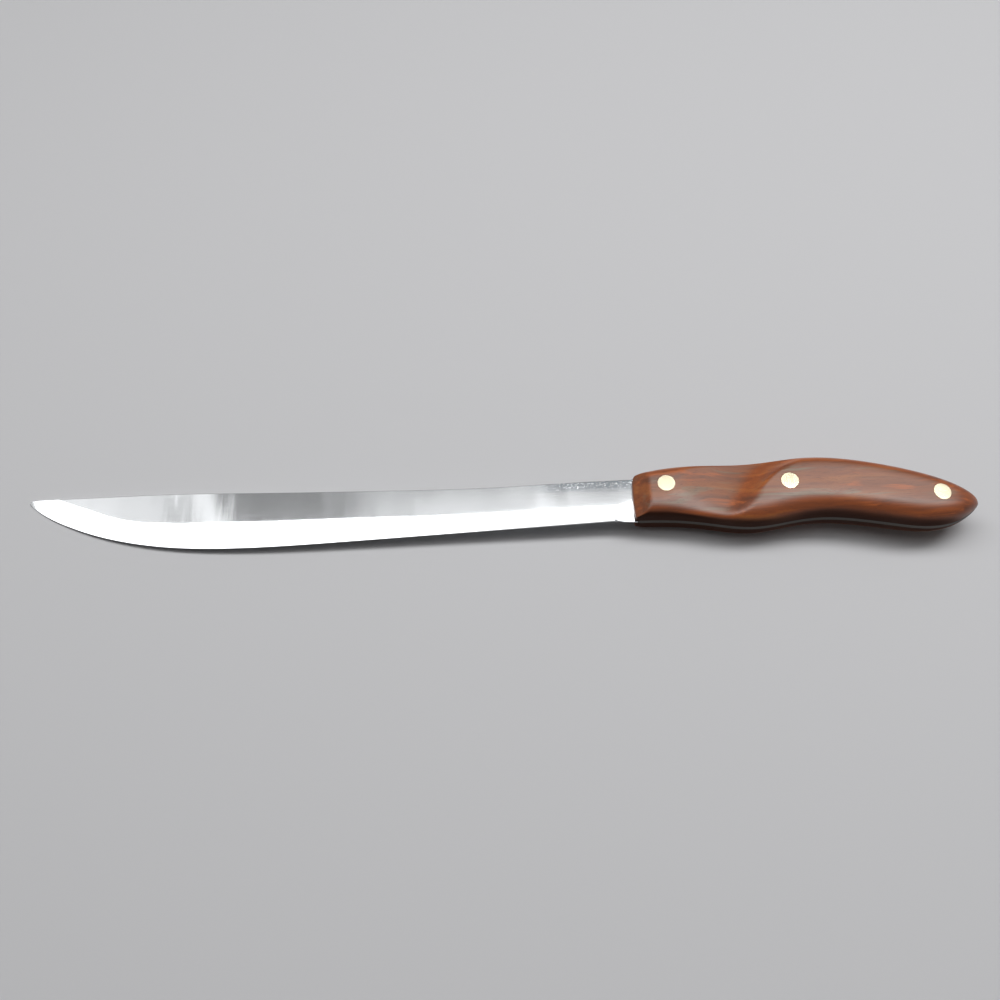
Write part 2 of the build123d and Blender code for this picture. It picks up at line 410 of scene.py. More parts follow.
def scaleStations():
    # Distances from the handle's front: close together at both rounded ends
    span = buttX - handle["frontX"]
    xs = np.linspace(scaleLook["buttStart"] * buttX, buttX, 4000)
    woodEnd = xs[handleSide(xs) > handle["tangHalf"] + scaleLook["rimMargin"][0]][-1] - handle["frontX"]
    front = scaleLook["frontReach"] * (1 - np.cos(np.linspace(0, math.pi / 2, scaleLook["frontSteps"])))
    buttStart = scaleLook["buttStart"] * span
    middle = np.arange(front[-1] + scaleLook["alongStep"], buttStart, scaleLook["alongStep"])
    butt = buttStart + (woodEnd - buttStart) * np.sin(np.linspace(0, math.pi / 2, scaleLook["buttSteps"]))
    return np.concatenate([front, middle, butt])


def scalePoints():
    # Rows along the handle, columns from the top rim over the side to the bottom rim
    fromFront = scaleStations()[:, None]
    nominal = fromFront + handle["frontX"]
    half = np.maximum(handleSide(nominal), handle["tangHalf"] + scaleLook["rimMargin"][1])
    quarter = np.linspace(0, 1, scaleLook["shoulderSteps"] + 1)[None, :]
    _, _, power = shoulders(nominal)
    falls = []  # from the outline in, as a share of the shoulder's width, above and below
    for wall in (scaleLook["topPower"], wallPower(nominal)):
        rim = np.arcsin((handle["tangHalf"] / half) ** (wall / 2))
        falls.append(1 - np.cos(rim + (math.pi / 2 - rim) * quarter) ** (2 / power))
    middleY = (rootTop[1] + rootBottom[1]) / 2
    radius = handle["frontArcRadius"]
    fade = np.clip(1 - fromFront / scaleLook["arcFade"], 0, 1) ** 2
    x = nominal
    for _ in range(3):  # the outline moves with the arc, so its height is read again
        top, bottom = handleTop(x), handleBottom(x)
        for corner, sign in (("cornerRoundTop", -1), ("cornerRoundBottom", 1)):
            left = np.maximum(handle[corner] - fromFront, 0)
            moved = sign * (handle[corner] - np.sqrt(np.maximum(handle[corner] ** 2 - left**2, 0)))
            top, bottom = (top + moved, bottom) if sign < 0 else (top, bottom + moved)
        topWidth, bottomWidth, power = shoulders(nominal)
        upper = top[:, :1] - topWidth * falls[0]
        lower = bottom[:, -1:] + bottomWidth * falls[1]
        flat = np.linspace(0, 1, scaleLook["flatSteps"] + 1)[None, 1:-1]
        between = upper[:, -1:] * (1 - flat) + lower[:, -1:] * flat
        y = np.concatenate([upper, between, lower[:, ::-1]], 1)
        sagitta = radius - np.sqrt(radius**2 - (y - middleY) ** 2)
        x = nominal + sagitta * fade
    z = np.maximum(woodHeight(x, y, fromFront), handle["tangHalf"])
    z[:, 0] = z[:, -1] = handle["tangHalf"]
    return x, y, z


def makeScale(name, side):
    x, y, z = scalePoints()
    rows, columns = z.shape
    bm = bmesh.new()
    outer = gridSheet(bm, rows, columns, lambda i, j: (x[i, j], y[i, j], z[i, j]))
    gridSheet(bm, rows, columns, lambda i, j: (x[i, j], y[i, j], handle["tangHalf"]))
    for row in (outer[0], outer[-1]):  # the front face, and the thin end at the butt
        edges = [bm.edges.get(pair) for pair in zip(row, row[1:])]
        made = bmesh.ops.extrude_edge_only(bm, edges=edges)["geom"]
        for vert in made:
            if isinstance(vert, bmesh.types.BMVert):
                vert.co.z = handle["tangHalf"]
    bmesh.ops.scale(bm, vec=(1, 1, side), verts=bm.verts)
    obj = finishMesh(bm, name)
    holes = []
    for place in rivetPlaces.values():
        shank = rivet["shankRadius"] + rivet["holeClearance"]
        head = place["radius"] + rivet["headClearance"]
        profile = [(0, 0), (shank, 0), (shank, place["seat"]), (head, place["seat"])]
        end = place["top"] + rivet["cutBeyond"]
        profile += [(head, end), (0, end)]
        holes.append(((place["x"], place["y"]), [(r, h * side) for r, h in profile]))
    cutHoles(obj, holes, rivet["segments"])
    return obj


def makeRivet(name, place, male):
    top, seat, radius = place["top"], place["seat"], place["radius"]
    rings = [(radius - rivet["edgeBreak"]) * share for share in rivet["headRings"]]
    profile = [(r, top) for r in rings] + [(radius, top - rivet["edgeBreak"]), (radius, seat)]
    end = -seat + rivet["pinGap"]
    if male:
        profile += [(rivet["pinRadius"], seat), (rivet["pinRadius"], end), (0, end)]
    else:
        shank, bore = rivet["shankRadius"], rivet["pinRadius"] + rivet["pinClearance"]
        profile += [(shank, seat), (shank, end), (bore, end), (bore, seat), (0, seat)]
    bm = bmesh.new()
    turned(bm, profile, (place["x"], place["y"]), rivet["segments"])
    for vert in bm.verts:  # the head is ground flush with the wood round it
        if vert.co.z > top - rivet["edgeBreak"] - rivet["headReach"]:
            x, y = np.array([vert.co.x]), np.array([vert.co.y])
            flush = float(formHeight(x, y)[0]) + rivet["proud"]
            vert.co.z += min(flush, top) - top
    bmesh.ops.scale(bm, vec=(1, 1, 1 if male else -1), verts=bm.verts)
    return finishMesh(bm, name)


# Blade: the plate in front of the handle and the tang between the scales, one piece of steel
blade = {
    "length": 226.0,
    "depth": 23.0,
    "half": 1.0,
    "edgeHalf": 0.15,
    "honedHalf": 0.04,
    "honedWidth": 0.12,
    "spineRound": 0.16,
    "spineRoundMost": (0.3, 0.1),  # at most these shares of the half thickness and the depth
    "spineArc": 0.29,          # where a quarter round's middle lies, as a share of its radius
    "grindRoom": (0.25, 0.1),  # the line stays this far from the edge and the spine, in depths
    "honedMost": 0.1,          # the honed edge is at most this share of the bevel
    "grindSoftness": 0.05,
    "heelSoftness": 1.1,       # the grind line fades into the flat towards the handle
    "heelHalf": 0.50,          # and the edge thickens
    "heelFade": 80.0,
    "choilLength": 1.4,
    "choilDrop": 0.35,
    "plungeStart": -0.9,       # the grind runs out inside the handle, over this length
    "plungeLength": 2.0,
    "endMargin": 0.004,        # the first and the last row stay this far from the ends
    "tipReach": 9.0,
    "tipSteps": 34,
    "step": 1.0,
    "heelRows": (-11.0, 1.5, 0.25),
    "tangRows": (2.0, 113.0, 1.0),
    "buttSteps": 30,
    "keenLength": 4.0,         # the honed edge starts over this length
    "tangFrom": -0.3,          # the steel is dull from here on
    "lineReach": 0.15,         # the ground bevel's mask ends this far from its line
    "groundFade": (10.0, 60.0),
    "scuffAlong": (-44.0, -22.0),
    "scuffUp": (-4.9, -3.1),
}
# Rows of points from the grind line up to the spine, close above the line, where the smaller of a
# width in mm and a share of the depth counts, and down to the edge
flatShares = (1, 0.9, 0.8, 0.7, 0.6, 0.5, 0.4, 0.3, 0.2, 0.1)
underSpine = (0.06, 0.01)
lineRows = ((0.5, 0.04), (0.2, 0.02), (0, 0))
bevelShares = (0.03, 0.08, 0.15, 0.25, 0.4, 0.55, 0.7, 0.85, 1)
# Guide lines: the distance from the handle as a share of the length, the height as a share of the depth
spineShares = [
    (0.090, -0.025), (0.240, -0.066), (0.420, -0.050), (0.600, -0.011), (0.780, 0.026), (0.900, 0.014),
    (0.994, 0.011),
]
tipShare = (1.000, -0.032)
edgeShares = [
    (0.996, -0.088), (0.962, -0.320), (0.926, -0.492), (0.892, -0.624), (0.840, -0.774), (0.773, -0.897),
    (0.642, -0.970), (0.481, -0.926), (0.255, -0.828), (0.126, -0.772), (0.030, -0.730),
]
grindShares = [
    (0.000, -0.655), (0.029, -0.645), (0.140, -0.615), (0.254, -0.580), (0.400, -0.547), (0.620, -0.542),
    (0.745, -0.523), (0.805, -0.482), (0.852, -0.385), (0.896, -0.222), (0.943, -0.040), (1.030, 0.380),
]


def onBlade(share):
    return (-share[0] * blade["length"], share[1] * blade["depth"])


spineLine = smoothLine([rootTop, *map(onBlade, spineShares)])
edgeLine = smoothLine([onBlade(share) for share in edgeShares])
grindHeight = heightAlong(smoothLine([onBlade(share) for share in grindShares]))


def unit(vector):
    return vector / np.hypot(*vector)


tipPoints = [onBlade(spineShares[-1]), onBlade(tipShare), onBlade(edgeShares[0])]
tipSlopes = (unit(spineLine[-1] - spineLine[-2]), unit(edgeLine[1] - edgeLine[0]))
tipLine = smoothLine(tipPoints, *tipSlopes, count=400)
heel = onBlade(edgeShares[-1])
choil = (heel[0] + blade["choilLength"], heel[1] - blade["choilDrop"])
bladeOutline = np.concatenate([spineLine[:-1], tipLine, edgeLine[1:], [choil, rootBottom]])
tipIndex = int(np.argmin(bladeOutline[:, 0]))
tipX = float(bladeOutline[tipIndex, 0])
plateTop = heightAlong(bladeOutline[:tipIndex + 1])
plateBottom = heightAlong(bladeOutline[tipIndex:])


def bladeStations():
    tip = tipX + blade["endMargin"] + blade["tipReach"] * np.linspace(0, 1, blade["tipSteps"]) ** 2
    body = np.arange(tip[-1] + blade["step"], blade["heelRows"][0], blade["step"])
    heelZone = np.arange(*blade["heelRows"])
    tang = np.arange(*blade["tangRows"])
    tangEnd = blade["tangRows"][1]
    turn = np.sin(np.linspace(0, math.pi / 2, blade["buttSteps"]))
    butt = tangEnd + (buttX - blade["endMargin"] - tangEnd) * turn
    return np.concatenate([tip, body, heelZone, tang, butt])


# The edge's line goes straight on past the rounded point, and the bevel with it
edgeEnd = edgeLine[0]
edgeClimb = (edgeLine[0] - edgeLine[1])[1] / (edgeLine[1] - edgeLine[0])[0]


def steelHalf(x, y, bottom):
    # Half thickness of the steel at x and heights y
    grind = float(grindHeight(x))
    if x < edgeEnd[0]:
        bottom = min(bottom, edgeEnd[1] + edgeClimb * (edgeEnd[0] - x))
    near = max(1 + (x - heel[0]) / blade["heelFade"], 0) ** 2
    edge = blade["edgeHalf"] + (blade["heelHalf"] - blade["edgeHalf"]) * near
    softness = blade["grindSoftness"] + (blade["heelSoftness"] - blade["grindSoftness"]) * near
    wedge = blade["half"] - (blade["half"] - edge) * (grind - y) / (grind - bottom)
    half = np.minimum(softMin(np.full(np.shape(y), blade["half"]), wedge, softness), blade["half"])
    plunge = ease(x, blade["plungeStart"], blade["plungeStart"] + blade["plungeLength"])
    half = half + (handle["tangHalf"] - half) * plunge
    return np.minimum(half, float(handleSide(x))) if x > 0 else half


def bladeSection(x):
    # One side's points at x from the spine's middle to the edge's middle
    plate = x < handle["rootX"]
    top = float(plateTop(x) if plate else handleTop(x))
    bottom = float(plateBottom(x) if plate else handleBottom(x))
    depth = top - bottom
    ofHalf, ofDepth = blade["spineRoundMost"]
    turn = min(blade["spineRound"], ofHalf * float(steelHalf(x, top, bottom)), ofDepth * depth)
    below, above = blade["grindRoom"]
    grind = float(np.clip(grindHeight(x), bottom + below * depth, top - turn - above * depth))
    low = bottom + min(blade["honedWidth"], blade["honedMost"] * (grind - bottom))
    ys = [grind + (top - turn - grind) * share for share in flatShares]
    ys += [grind + min(width, share * depth) for width, share in lineRows]
    ys.append(ys[0] - min(underSpine[0], underSpine[1] * depth))
    ys.sort(reverse=True)
    ys += [grind + (low - grind) * share for share in bevelShares]
    ys = np.array(ys)
    zs = steelHalf(x, ys, bottom)
    keen = float(ease(-x, -heel[0], blade["keenLength"] - heel[0]))
    honed = zs[-1] + (blade["honedHalf"] - zs[-1]) * keen
    arc = blade["spineArc"] * turn
    spine = [(top, 0), (top, zs[0] - turn), (top - arc, zs[0] - arc)]
    return spine + list(zip(ys, zs)) + [(bottom, honed), (bottom, 0)]


def makeBlade(name):
    xs = bladeStations()
    sections = [bladeSection(x) for x in xs]
    columns = len(sections[0])
    bm = bmesh.new()
    for side in (1, -1):
        gridSheet(bm, len(xs), columns, lambda i, j: (xs[i], sections[i][j][0], sections[i][j][1] * side))
    bmesh.ops.remove_doubles(bm, verts=bm.verts, dist=mergeReach)
    bmesh.ops.holes_fill(bm, edges=[edge for edge in bm.edges if edge.is_boundary], sides=0)
    obj = finishMesh(bm, name)
    shank = rivet["shankRadius"] + rivet["holeClearance"]
    reach = rivet["boreHalf"]
    bore = [(0, -reach), (shank, -reach), (shank, reach), (0, reach)]
    cutHoles(obj, [((place["x"], place["y"]), bore) for place in rivetPlaces.values()], rivet["segments"])
    return obj


# Materials

def hexLinear(code):
    # A display colour such as B08040 as the linear colour that a shader takes
    parts = [int(code[k:k + 2], 16) / 255 for k in (0, 2, 4)]
    return (*[c / 12.92 if c <= 0.04045 else ((c + 0.055) / 1.055) ** 2.4 for c in parts], 1.0)


def feed(tree, node, **links):
    # Sets a node's sockets or links them. A name as in_2 is socket 2.
    for key, value in links.items():
        socket = node.inputs[int(key[3:])] if key.startswith("in_") else node.inputs[key.replace("_", " ")]
        if isinstance(value, bpy.types.NodeSocket):
            tree.links.new(value, socket)
        else:
            socket.default_value = value
    return node


def addNode(tree, kind, settings=None, **links):
    # Adds a node with its settings and its links
    node = tree.nodes.new(kind)
    for key, value in (settings or {}).items():
        setattr(node, key, value)
    return feed(tree, node, **links)


def addRamp(tree, factor, stops):
    node = addNode(tree, "ShaderNodeValToRGB", Fac=factor)
    ramp = node.color_ramp
    while len(ramp.elements) < len(stops):
        ramp.elements.new(0.5)
    for element, (place, color) in zip(ramp.elements, stops):
        element.position = place
        element.color = hexLinear(color) if isinstance(color, str) else (color, color, color, 1)
    return node.outputs["Color"]


def addMask(tree, value, none, full):
    # 0 where the value is at none, 1 where it is at full
    return addRamp(tree, value, sorted([(none, 0.0), (full, 1.0)]))


def newMaterial(name):
    material = bpy.data.materials.new(name)
    material.use_nodes = True
    tree = material.node_tree
    tree.nodes.clear()
    shader = addNode(tree, "ShaderNodeBsdfPrincipled")
    addNode(tree, "ShaderNodeOutputMaterial", Surface=shader.outputs[0])
    return material, tree, shader


def stretched(tree, vector, stretch, place=(0, 0, 0), turn=(0, 0, 0)):
    return addNode(tree, "ShaderNodeMapping", Vector=vector, Location=place, Rotation=turn,
                   Scale=stretch).outputs[0]


def objectPattern(tree, stretch, turn=0.0):
    # Object coordinates, stretched along the axes and turned about the height
    coordinates = addNode(tree, "ShaderNodeTexCoord").outputs["Object"]
    return stretched(tree, coordinates, stretch, turn=(0, 0, turn))


def readMask(tree, name):
    # A mask that the piece itself carries
    return addNode(tree, "ShaderNodeAttribute", {"attribute_name": name}).outputs["Fac"]


def perSize(size):
    # Scale of a noise whose features are about that many mm
    return 1 / (size * mm)


def noise(tree, vector, size, detail, roughness):
    node = addNode(tree, "ShaderNodeTexNoise", Vector=vector, Scale=perSize(size), Detail=detail,
                   Roughness=roughness)
    return node.outputs["Fac"]


def spread(tree, value, low, high, taken=(0.0, 1.0)):
    # Stretches the range taken of a value to low and high
    return addNode(tree, "ShaderNodeMapRange", Value=value, in_1=taken[0], in_2=taken[1], in_3=low,
                   in_4=high).outputs[0]


def mixColor(tree, factor, a, b):
    return addNode(tree, "ShaderNodeMix", {"data_type": "RGBA"}, in_0=factor, in_6=a, in_7=b).outputs[2]


def calc(tree, operation, a, b):
    return addNode(tree, "ShaderNodeMath", {"operation": operation}, in_0=a, in_1=b).outputs[0]


def cover(tree, color, mask, share, code):
    # Lays a colour over another by a mask, as strongly as share
    return mixColor(tree, calc(tree, "MULTIPLY", mask, share), color, hexLinear(code))


def less(tree, start, mask, share):
    # The start value, less the share where the mask is 1
    return calc(tree, "SUBTRACT", start, calc(tree, "MULTIPLY", mask, share))


def more(tree, start, mask, share):
    return calc(tree, "ADD", start, calc(tree, "MULTIPLY", mask, share))


def addBump(tree, height, depth, strength, **below):
    # Depth in mm. Normal names the bump that this one lies on.
    return addNode(tree, "ShaderNodeBump", Strength=strength, Distance=depth * mm, Height=height,
                   **below).outputs[0]


def markPoints(obj, name, values):
    # Keeps a mask on the piece itself, one value per vertex
    obj.data.attributes.new(name, "FLOAT", "POINT").data.foreach_set("value", values.astype(np.float32))


def knifePoints(obj):
    # The piece's vertices in the knife's axes, mm
    points = np.zeros(len(obj.data.vertices) * 3, np.float32)
    obj.data.vertices.foreach_get("co", points)
    return (points.reshape(-1, 3) - np.array(origin)) / mm


def vertexNormals(obj):
    normals = np.zeros(len(obj.data.vertices) * 3, np.float32)
    obj.data.vertex_normals.foreach_get("vector", normals)
    return normals.reshape(-1, 3)


wood = {
    "dark": "66300F",
    "middle": "984C1C",
    "light": "B86A2A",
    "groundPlaces": (0.30, 0.50, 0.70),
    # Colours over that ground, with their shares and where in their pattern they start and are full
    "drySheen": "805A42",           # the broad faces: partly a thin finish, partly a painted sheen
    "drySheenShare": 0.42,
    "mineral": "7C745C",
    "mineralShare": 0.6,
    "mineralPlaces": (0.56, 0.66),
    "warm": "BE642C",
    "warmShare": 0.65,
    "warmPlaces": (0.43, 0.34),
    "streak": "3A180C",
    "streakShare": 0.20,
    "streakPlaces": (0.52, 0.68),
    "pore": "24100A",
    "poreShare": 0.32,
    "porePlaces": (0.60, 0.70),
    "bellyShadeShare": 0.9,         # the lower wall and the rim by the tang, darkened as painted shade
    # Patterns: size in mm across the grain, detail and roughness, and their stretch along it
    "figure": (5.0, 4.0, 0.55),
    "figureStretch": 0.045,
    "bands": (3.2, 3.0, 0.6),
    "bandStretch": 0.07,
    "bandPlace": (0.3, 0.1, 0.0),
    "streaks": (1.1, 3.0, 0.6),
    "pores": (0.30, 1.0, 0.5),  # drawn coarser than real ones, so that a picture holds them
    "poreStretch": 0.05,
    "gloss": (7.0, 3.0, 0.5),
    "wanderSize": 45.0,        # the grain wanders over this length, by up to this much, in mm
    "wanderDetail": 2.0,
    "wanderReach": 10.0,
    "roughness": (0.34, 0.46),
    "bellyRoughness": 0.25,
    "refraction": 1.5,
    "specular": 0.5,
    "bellySpecular": 0.35,
    "coat": 0.40,
    "coatRoughness": 0.33,
    "poreRelief": -0.6,
    "streakRelief": 0.25,
    "reliefDepth": 0.06,
    "reliefStrength": 0.25,
}


def makeWood():
    # Rosewood, sanded with the rivets in place, then oiled and waxed: dark wavy streaks along a
    # red-brown ground, fine open pores and a soft low gloss; the broad faces greyer, partly a thin
    # finish and partly a painted sheen, and the lower wall darker as painted shade
    material, tree, shader = newMaterial("rosewood oiled and waxed")
    plain = objectPattern(tree, (1, 1, 1))
    wander = addNode(tree, "ShaderNodeTexNoise", Vector=plain, Scale=perSize(wood["wanderSize"]),
                     Detail=wood["wanderDetail"]).outputs["Color"]
    shift = addNode(tree, "ShaderNodeVectorMath", {"operation": "SCALE"}, in_0=wander,
                    Scale=wood["wanderReach"] * mm).outputs[0]
    bent = addNode(tree, "ShaderNodeVectorMath", {"operation": "ADD"}, in_0=plain, in_1=shift).outputs[0]
    along = stretched(tree, bent, (wood["figureStretch"], 1, 1))
    face = readMask(tree, "face")
    bellyShade = readMask(tree, "bellyShade")
    figure = noise(tree, along, *wood["figure"])
    grounds = (wood["dark"], wood["middle"], wood["light"])
    color = addRamp(tree, figure, list(zip(wood["groundPlaces"], grounds)))
    # painted sheen, partly a thin finish: the broad faces turn greyer
    color = cover(tree, color, face, wood["drySheenShare"], wood["drySheen"])
    beside = stretched(tree, bent, (wood["bandStretch"], 1, 1), wood["bandPlace"])
    bands = noise(tree, beside, *wood["bands"])
    mineral = calc(tree, "MULTIPLY", addMask(tree, bands, *wood["mineralPlaces"]), face)
    color = cover(tree, color, mineral, wood["mineralShare"], wood["mineral"])
    color = cover(tree, color, addMask(tree, bands, *wood["warmPlaces"]), wood["warmShare"], wood["warm"])
    streaks = noise(tree, along, *wood["streaks"])
    streakMask = addMask(tree, streaks, *wood["streakPlaces"])
    color = cover(tree, color, streakMask, wood["streakShare"], wood["streak"])
    pores = noise(tree, stretched(tree, bent, (wood["poreStretch"], 1, 1)), *wood["pores"])
    poreMask = addMask(tree, pores, *wood["porePlaces"])
    color = cover(tree, color, poreMask, wood["poreShare"], wood["pore"])
    # painted shade: the lower wall and the rim by the tang darken towards the pore colour
    color = cover(tree, color, bellyShade, wood["bellyShadeShare"], wood["pore"])
    gloss = spread(tree, noise(tree, plain, *wood["gloss"]), *wood["roughness"])
    grain = more(tree, calc(tree, "MULTIPLY", poreMask, wood["poreRelief"]), streaks, wood["streakRelief"])
    feed(tree, shader, Base_Color=color, IOR=wood["refraction"],
         Roughness=more(tree, gloss, bellyShade, wood["bellyRoughness"]),
         Specular_IOR_Level=less(tree, wood["specular"], bellyShade, wood["bellySpecular"]),
         Coat_Weight=less(tree, wood["coat"], bellyShade, wood["coat"]), Coat_Roughness=wood["coatRoughness"],
         Normal=addBump(tree, grain, wood["reliefDepth"], wood["reliefStrength"]))
    return material


steel = {
    "color": "D0D2D4",
    "paintedDarkReflection": "B4BABF",         # by the handle, under the spine: a painted darker reflection
    "scuffed": "F4F5F6",
    # Patterns: size in mm across the blade, detail and roughness, and their stretch
    "lines": (0.30, 3.0, 0.6),  # polish along the blade, drawn coarser than it is
    "lineStretch": 0.03,
    "lineShare": 0.6,
    "lineDepth": 0.02,
    "lineStrength": 0.08,
    "patches": (14.0, 3.0, 0.6),
    "patchStretch": 0.5,
    "patchShare": 0.4,
    "wornRange": (0.3, 0.7),
    "roughness": (0.06, 0.10),
    "groundRoughness": 0.05,
    "specks": (0.45, 3.0, 0.7),
    "speckStretch": 0.6,
    "speckPlaces": (0.56, 0.64),
    "speckRoughness": 0.16,
    "waves": (13.0, 1.0, 0.5),
    "waveStretch": 0.25,
    "waveTurn": 0.3,
    "waveDepth": 0.16,
    "marks": (2.2, 1.0, 0.5),  # grinding marks across the blade, that blur what it mirrors sideways
    "markStretch": 0.12,
    "markTurn": 0.2,
    "markDepth": 0.007,
    "groundCalm": 0.7,         # the ground bevel has that much less of both
}


def makeSteel():
    # Stainless steel, rolled, ground and buffed: lines of polish along the blade, rubbed patches, a
    # slight waviness that bends what it mirrors, and dull scuffs by the handle, where the flat is also
    # painted darker as a dark reflection
    material, tree, shader = newMaterial("stainless steel ground and buffed")
    ground = readMask(tree, "ground")
    scuffed = readMask(tree, "scuffed")
    lines = noise(tree, objectPattern(tree, (steel["lineStretch"], 1, 1)), *steel["lines"])
    patches = noise(tree, objectPattern(tree, (steel["patchStretch"], 1, 1)), *steel["patches"])
    worn = more(tree, calc(tree, "MULTIPLY", lines, steel["lineShare"]), patches, steel["patchShare"])
    specks = noise(tree, objectPattern(tree, (steel["speckStretch"], 1, 1)), *steel["specks"])
    scuffs = calc(tree, "MULTIPLY", addMask(tree, specks, *steel["speckPlaces"]), scuffed)
    roughness = spread(tree, worn, *steel["roughness"], taken=steel["wornRange"])
    roughness = more(tree, roughness, ground, steel["groundRoughness"])
    roughness = more(tree, roughness, scuffs, steel["speckRoughness"])
    # painted reflection: the flat by the handle is tinted darker, as the darker surround it mirrors
    color = mixColor(tree, scuffed, hexLinear(steel["color"]), hexLinear(steel["paintedDarkReflection"]))
    color = mixColor(tree, scuffs, color, hexLinear(steel["scuffed"]))
    strength = less(tree, 1.0, ground, steel["groundCalm"])
    wavePattern = objectPattern(tree, (1, steel["waveStretch"], steel["waveStretch"]), steel["waveTurn"])
    markPattern = objectPattern(tree, (1, steel["markStretch"], steel["markStretch"]), steel["markTurn"])
    normal = addBump(tree, noise(tree, wavePattern, *steel["waves"]), steel["waveDepth"], strength)
    marks = noise(tree, markPattern, *steel["marks"])
    normal = addBump(tree, marks, steel["markDepth"], strength, Normal=normal)
    normal = addBump(tree, lines, steel["lineDepth"], steel["lineStrength"], Normal=normal)
    feed(tree, shader, Base_Color=color, Metallic=1.0, Roughness=roughness, Normal=normal)
    return material


tangLook = {"color": "54504C", "marks": (0.4, 3.0, 0.5), "markStretch": 0.1, "roughness": (0.42, 0.58)}


def makeTangSteel():
    # Stainless steel, the tang's rim between the scales, sanded with the wood and coloured dark grey,
    # with a broad weak gleam
    material, tree, shader = newMaterial("stainless steel tang sanded and dulled")
    marks = noise(tree, objectPattern(tree, (tangLook["markStretch"], 1, 1)), *tangLook["marks"])
    feed(tree, shader, Base_Color=hexLinear(tangLook["color"]), Metallic=1.0,
         Roughness=spread(tree, marks, *tangLook["roughness"]))
    return material


rivetLook = {
    "color": "E6DABC",
    "marks": (0.25, 2.0, 0.5),
    "markStretch": 0.06,
    "markTurn": 0.5,
    "markDepth": 0.02,
    "markStrength": 0.12,
    "roughness": (0.13, 0.20),
}


def makeRivetMetal():
    # Nickel silver, ground flush with the wood and buffed: warm white, fine straight marks
    material, tree, shader = newMaterial("nickel silver ground flush")
    marks = noise(tree, objectPattern(tree, (1, rivetLook["markStretch"], 1), rivetLook["markTurn"]),
                  *rivetLook["marks"])
    feed(tree, shader, Base_Color=hexLinear(rivetLook["color"]), Metallic=1.0,
         Roughness=spread(tree, marks, *rivetLook["roughness"]),
         Normal=addBump(tree, marks, rivetLook["markDepth"], rivetLook["markStrength"]))
    return material


# Stage: a pale floor that the knife rests on, tip and handle, and soft studio light
stage = {
    "floorSize": 2.6,
    "floorSeen": "D6D6D8",
    "floorBounce": "5A5A5C",   # the light that the floor sends back, as a darker table would
    "floorRoughness": 0.9,
    "floorSpecular": 0.2,
    "worldStrength": 0.08,
    "worldSeen": 0.36,         # what the steel mirrors between the boxes
}
softBoxes = {
    # Name: centre x, y, z in m, size across and deep in m, brightness, where 1 looks white, turn in
    # degrees. The two keys light the bevel and the wood, the small boxes the blade's flat.
    # Boxes that overlap hang 2 mm apart, because a mirror shows only one of two in the same plane.
    "keyLeft": ((-0.33, 0.32, 1.0), (1.00, 0.28), 4.0),
    "keyRight": ((0.66, 0.32, 1.0), (0.98, 0.28), 7.4),
    "bevelBox": ((0.0, 0.10, 1.0), (1.00, 0.16), 1.9),
    "topBox": ((0.0, -0.10, 1.05), (1.50, 0.24), 0.7),
    "rearBox": ((0.98, 0.66, 1.000), (0.40, 0.30), 0.9),
    "leftBase": ((-0.62, 0.54, 1.000), (0.44, 0.17), 0.28),
    "leftBox": ((-0.66, 0.54, 0.998), (0.37, 0.17), 0.48),
    "farLeftBox": ((-0.70, 0.54, 0.996), (0.26, 0.17), 0.15, 12),
    "stripBox": ((-0.43, 0.54, 0.994), (0.045, 0.19), 0.80, 25),
    "rampBox": ((-0.085, 0.52, 1.000), (0.31, 0.17), 0.16, 20),
    "hazeBox": ((-0.075, 0.52, 0.998), (0.27, 0.17), 0.16),
    "rightBox": ((0.005, 0.478, 0.996), (0.39, 0.103), 0.22),
    "farRightBox": ((0.03, 0.478, 0.994), (0.34, 0.103), 0.18),
    "heelBox": ((0.12, 0.474, 0.992), (0.20, 0.10), 0.44),
}


def floorPlane():
    # The knife lies on its point and on the swell of the lower scale. Returns a point and the slope.
    points = [v.co for v in frame["nodes"]["blade"].data.vertices]
    tip = min(points, key=lambda co: (round(co.x, 4), co.z))
    low = [v.co for v in frame["nodes"]["lower_scale"].data.vertices]
    slope = max((tip.z - co.z) / (co.x - tip.x) for co in low)
    return tip.copy(), slope


def seenRays(tree):
    # 1 where the camera, a mirror or glass looks at the stage, 0 where it only sends light
    path = addNode(tree, "ShaderNodeLightPath").outputs
    seen = calc(tree, "MAXIMUM", path["Is Camera Ray"], path["Is Glossy Ray"])
    return calc(tree, "MAXIMUM", seen, path["Is Transmission Ray"])


def makeFloor():
    tip, slope = floorPlane()
    bm = bmesh.new()
    bmesh.ops.create_grid(bm, x_segments=1, y_segments=1, size=stage["floorSize"] / 2)
    mesh = bpy.data.meshes.new("floor")
    bm.to_mesh(mesh)
    bm.free()
    for vert in mesh.vertices:
        vert.co.z = tip.z - slope * (vert.co.x - tip.x)
    obj = bpy.data.objects.new("floor", mesh)
    bpy.context.scene.collection.objects.link(obj)
    material, tree, shader = newMaterial("floor paper")
    color = mixColor(tree, seenRays(tree), hexLinear(stage["floorBounce"]), hexLinear(stage["floorSeen"]))
    feed(tree, shader, Base_Color=color, Roughness=stage["floorRoughness"],
         Specular_IOR_Level=stage["floorSpecular"])
    mesh.materials.append(material)


def makeSoftBox(name, place, size, brightness, turn=0):
    data = bpy.data.lights.new(name, "AREA")
    data.shape = "RECTANGLE"
    data.size, data.size_y = size
    data.energy = brightness * math.pi * size[0] * size[1]
    obj = bpy.data.objects.new(name, data)
    obj.location = place
    obj.rotation_euler = (-math.atan2(place[1], place[2]), 0, math.radians(turn))
    bpy.context.scene.collection.objects.link(obj)


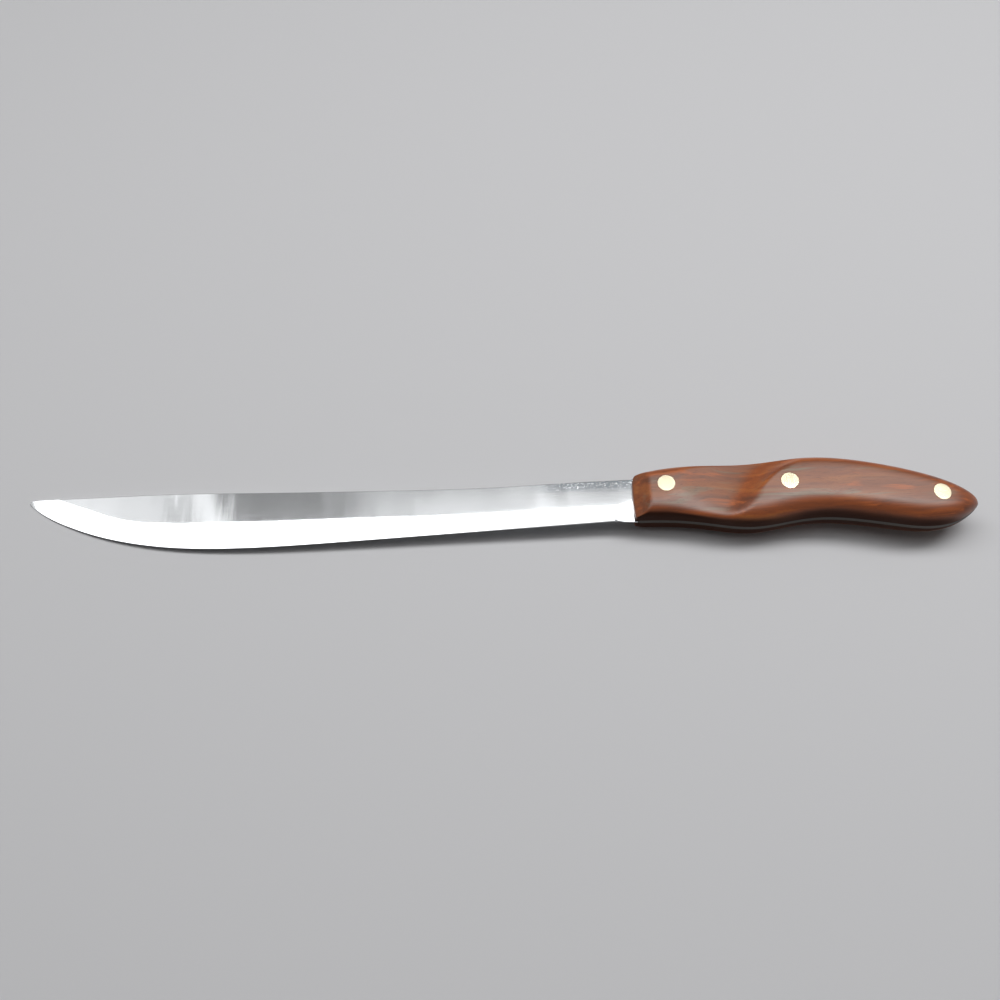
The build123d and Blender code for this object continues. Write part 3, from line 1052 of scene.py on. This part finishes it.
def makeWorld():
    world = bpy.data.worlds.new("studio")
    world.use_nodes = True
    tree = world.node_tree
    extra = stage["worldSeen"] - stage["worldStrength"]
    strength = more(tree, stage["worldStrength"], seenRays(tree), extra)
    feed(tree, tree.nodes["Background"], Color=(1, 1, 1, 1), Strength=strength)
    bpy.context.scene.world = world


makeFloor()
for boxName, settings in softBoxes.items():
    makeSoftBox(boxName, *settings)
makeWorld()
bpy.context.scene.view_settings.view_transform = "Standard"
print("stage built")

# The knife
woodMaterial = makeWood()
bladeSteel = makeSteel()
tangSteel = makeTangSteel()
rivetMetal = makeRivetMetal()


def settle(obj, node, slot, *materials):
    # Dresses a piece, ties it to its body and hides the node that it stands for
    obj.data.materials.clear()
    for material in materials:
        obj.data.materials.append(material)
    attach(obj, "root")
    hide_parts(node)


def markBlade(obj):
    # Where the bevel is ground, where the flat is scuffed by the handle, and where the tang is dull
    for polygon in obj.data.polygons:
        polygon.material_index = int((polygon.center - origin).x / mm > blade["tangFrom"])
    alongX, upY = knifePoints(obj)[:, :2].T
    ground = ease(grindHeight(alongX) - upY, -blade["lineReach"], blade["lineReach"])
    markPoints(obj, "ground", ground * ease(-alongX, *blade["groundFade"]))
    # the scuffed zone also carries the painted darker reflection
    markPoints(obj, "scuffed", ease(alongX, *blade["scuffAlong"]) * ease(upY, *blade["scuffUp"]))


def markScale(obj):
    # The broad faces, partly a thin finish and partly a painted sheen, and the lower wall and the rim
    # by the tang, darkened as painted shade
    turnX, turnY, turnZ = vertexNormals(obj).T
    alongX, upY, outZ = knifePoints(obj).T
    front = scaleLook["frontShare"] * ease(-turnX, *scaleLook["frontTurn"])
    # painted sheen mask: faces turned out, and the front face
    markPoints(obj, "face", np.maximum(ease(abs(turnZ), *scaleLook["faceTurn"]), front))
    # painted shade mask: the wall turned down, more so behind, and the rim by the tang
    behind = ease(alongX, *scaleLook["bellyBehind"])
    low, high = (a + b * behind for a, b in zip(scaleLook["bellyTurn"], scaleLook["bellyTurnMore"]))
    rim = abs(outZ) < handle["tangHalf"] + scaleLook["rimHeight"]
    rim &= upY < handleBottom(alongX) + scaleLook["rimReach"]
    markPoints(obj, "bellyShade", np.where(rim, 1.0, ease(-turnY, low, high)))


bladePiece = makeBlade("bladeAndTang")
settle(bladePiece, "blade", "polished_steel", bladeSteel, tangSteel)
markBlade(bladePiece)
print("blade built:", len(bladePiece.data.polygons), "faces")
for side, word in ((1, "upper"), (-1, "lower")):
    scalePiece = makeScale(word + "Scale", side)
    settle(scalePiece, word + "_scale", "scale_wood", woodMaterial)
    markScale(scalePiece)
print("scales built:", len(scalePiece.data.polygons), "faces each")
for name, place in rivetPlaces.items():
    for half in ("male", "female"):
        piece = makeRivet(name + "Rivet" + half.capitalize(), place, half == "male")
        settle(piece, f"{name}_rivet_{half}", "rivet_nickel_silver", rivetMetal)
print("rivets built")
